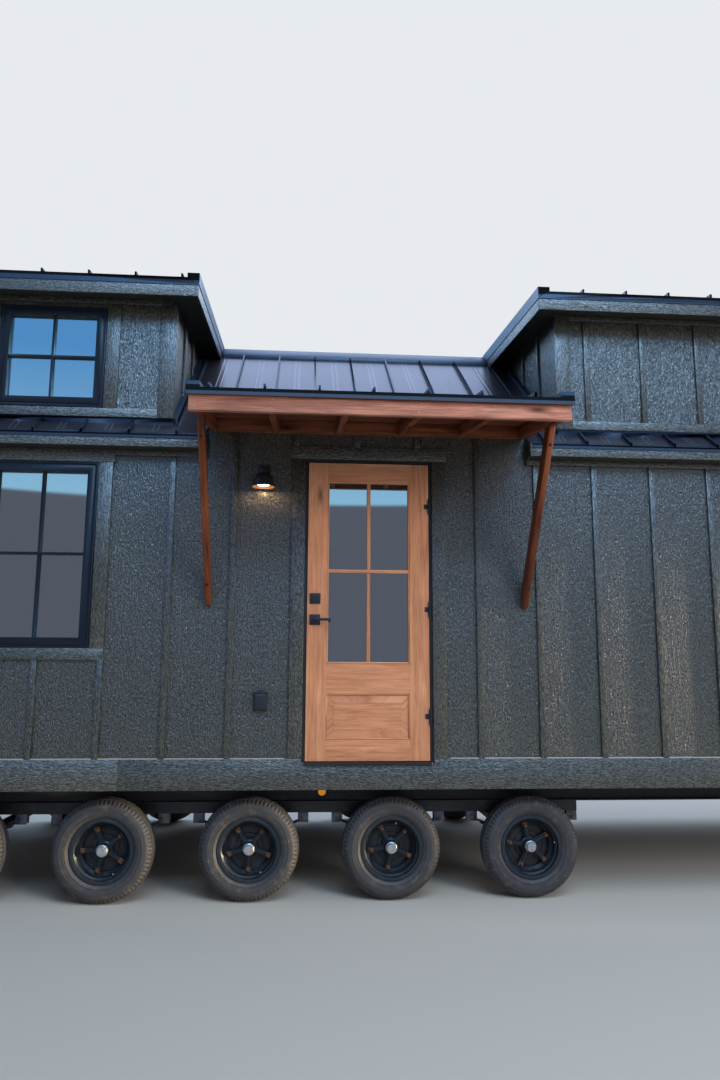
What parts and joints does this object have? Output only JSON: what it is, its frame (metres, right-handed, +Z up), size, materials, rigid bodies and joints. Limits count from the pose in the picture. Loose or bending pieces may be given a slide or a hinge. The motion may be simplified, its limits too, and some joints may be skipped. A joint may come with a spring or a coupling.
{
  "type": "tiny house on wheels",
  "caption": "Board-and-batten cabin with shed dormers, a braced door awning and a standing-seam roof, on a trailer with leaf-sprung axles.",
  "frame": {"origin": "middle of the footprint on the ground", "axes": "+X along the house towards its drawbar, +Y from the door side to the back, +Z up"},
  "size_m": [11.2539, 4.18, 4.2377],
  "materials": {
    "siding_paint": "dark olive green paint on embossed wood boards, satin",
    "roof_metal": "dark charcoal standing-seam metal, satin",
    "stained_lumber": "red-brown stained construction lumber",
    "door_wood": "light brown stained wood, clear satin coat",
    "window_black": "near-black satin frames",
    "glass": "clear glass",
    "black_steel": "black painted steel",
    "galvanised": "dull galvanised steel",
    "floor_board": "plain floor boards",
    "black_hardware": "matte black coating",
    "black_plastic": "black plastic",
    "amber_lens": "amber lens in a black grommet",
    "tyre_rubber": "black rubber with ribbed tread",
    "wheel_black": "black rim and hub, rusty clamps, bright grease cap"
  },
  "bodies": {
    "root": {"main_beams": "black_steel", "floor_frame": "black_steel", "drawbar": "black_steel", "axles": "black_steel", "leaf_springs": "black_steel", "spring_hangers": "galvanised", "floor_deck": "floor_board", "loft_floors": "floor_board", "front_wall_left": "siding_paint", "front_wall_right": "siding_paint", "front_wall_head": "siding_paint", "back_wall": "siding_paint", "end_walls": "siding_paint", "front_roof": "roof_metal", "back_roof": "roof_metal", "ridge_cap": "roof_metal", "roof_trims": "roof_metal", "dormer_walls": "siding_paint", "dormer_cheeks": "siding_paint", "dormer_roofs": "roof_metal", "fascias": "siding_paint", "skirt_boards": "siding_paint", "battens": "siding_paint", "trim_boards": "siding_paint", "window_frames": "window_black", "window_glass": "glass", "door_frame": "black_hardware", "awning_rafters": "stained_lumber", "awning_beam": "stained_lumber", "awning_braces": "stained_lumber", "awning_roof": "roof_metal", "wall_lamp": "black_hardware", "outlet_cover": "black_plastic", "side_markers": "amber_lens"},
    "door": {"door_leaf": "door_wood", "door_glass": "glass", "door_lock": "black_hardware", "door_hinges": "black_hardware"},
    "lever": {"door_lever": "black_hardware"},
    "front_wheel_1": {"tyre_f1": "tyre_rubber", "wheel_f1": "wheel_black"},
    "front_wheel_2": {"tyre_f2": "tyre_rubber", "wheel_f2": "wheel_black"},
    "front_wheel_3": {"tyre_f3": "tyre_rubber", "wheel_f3": "wheel_black"},
    "front_wheel_4": {"tyre_f4": "tyre_rubber", "wheel_f4": "wheel_black"},
    "front_wheel_5": {"tyre_f5": "tyre_rubber", "wheel_f5": "wheel_black"},
    "back_wheel_1": {"tyre_b1": "tyre_rubber", "wheel_b1": "wheel_black"},
    "back_wheel_2": {"tyre_b2": "tyre_rubber", "wheel_b2": "wheel_black"},
    "back_wheel_3": {"tyre_b3": "tyre_rubber", "wheel_b3": "wheel_black"},
    "back_wheel_4": {"tyre_b4": "tyre_rubber", "wheel_b4": "wheel_black"},
    "back_wheel_5": {"tyre_b5": "tyre_rubber", "wheel_b5": "wheel_black"}
  },
  "joints": [
    {"name": "door_swing", "type": "hinge", "parent": "root", "child": "door", "pos_m": [-0.1895, -1.123, 1.85], "axis": [0, 0, 1], "range_deg": [0, 105]},
    {"name": "lever_turn", "type": "hinge", "parent": "door", "child": "lever", "pos_m": [-0.944, -1.133, 1.774], "axis": [0, 1, 0], "range_deg": [0, 45], "stiffness_Nm_per_rad": 1},
    {"name": "front_wheel_1_turn", "type": "hinge", "parent": "root", "child": "front_wheel_1", "pos_m": [-3.1718, -0.923, 0.32], "axis": [0, 1, 0], "continuous": true},
    {"name": "front_wheel_2_turn", "type": "hinge", "parent": "root", "child": "front_wheel_2", "pos_m": [-2.2574, -0.923, 0.32], "axis": [0, 1, 0], "continuous": true},
    {"name": "front_wheel_3_turn", "type": "hinge", "parent": "root", "child": "front_wheel_3", "pos_m": [-1.343, -0.923, 0.32], "axis": [0, 1, 0], "continuous": true},
    {"name": "front_wheel_4_turn", "type": "hinge", "parent": "root", "child": "front_wheel_4", "pos_m": [-0.4286, -0.923, 0.32], "axis": [0, 1, 0], "continuous": true},
    {"name": "front_wheel_5_turn", "type": "hinge", "parent": "root", "child": "front_wheel_5", "pos_m": [0.4858, -0.923, 0.32], "axis": [0, 1, 0], "continuous": true},
    {"name": "back_wheel_1_turn", "type": "hinge", "parent": "root", "child": "back_wheel_1", "pos_m": [-3.1718, 1.745, 0.32], "axis": [0, 1, 0], "continuous": true},
    {"name": "back_wheel_2_turn", "type": "hinge", "parent": "root", "child": "back_wheel_2", "pos_m": [-2.2574, 1.745, 0.32], "axis": [0, 1, 0], "continuous": true},
    {"name": "back_wheel_3_turn", "type": "hinge", "parent": "root", "child": "back_wheel_3", "pos_m": [-1.343, 1.745, 0.32], "axis": [0, 1, 0], "continuous": true},
    {"name": "back_wheel_4_turn", "type": "hinge", "parent": "root", "child": "back_wheel_4", "pos_m": [-0.4286, 1.745, 0.32], "axis": [0, 1, 0], "continuous": true},
    {"name": "back_wheel_5_turn", "type": "hinge", "parent": "root", "child": "back_wheel_5", "pos_m": [0.4858, 1.745, 0.32], "axis": [0, 1, 0], "continuous": true}
  ]
}
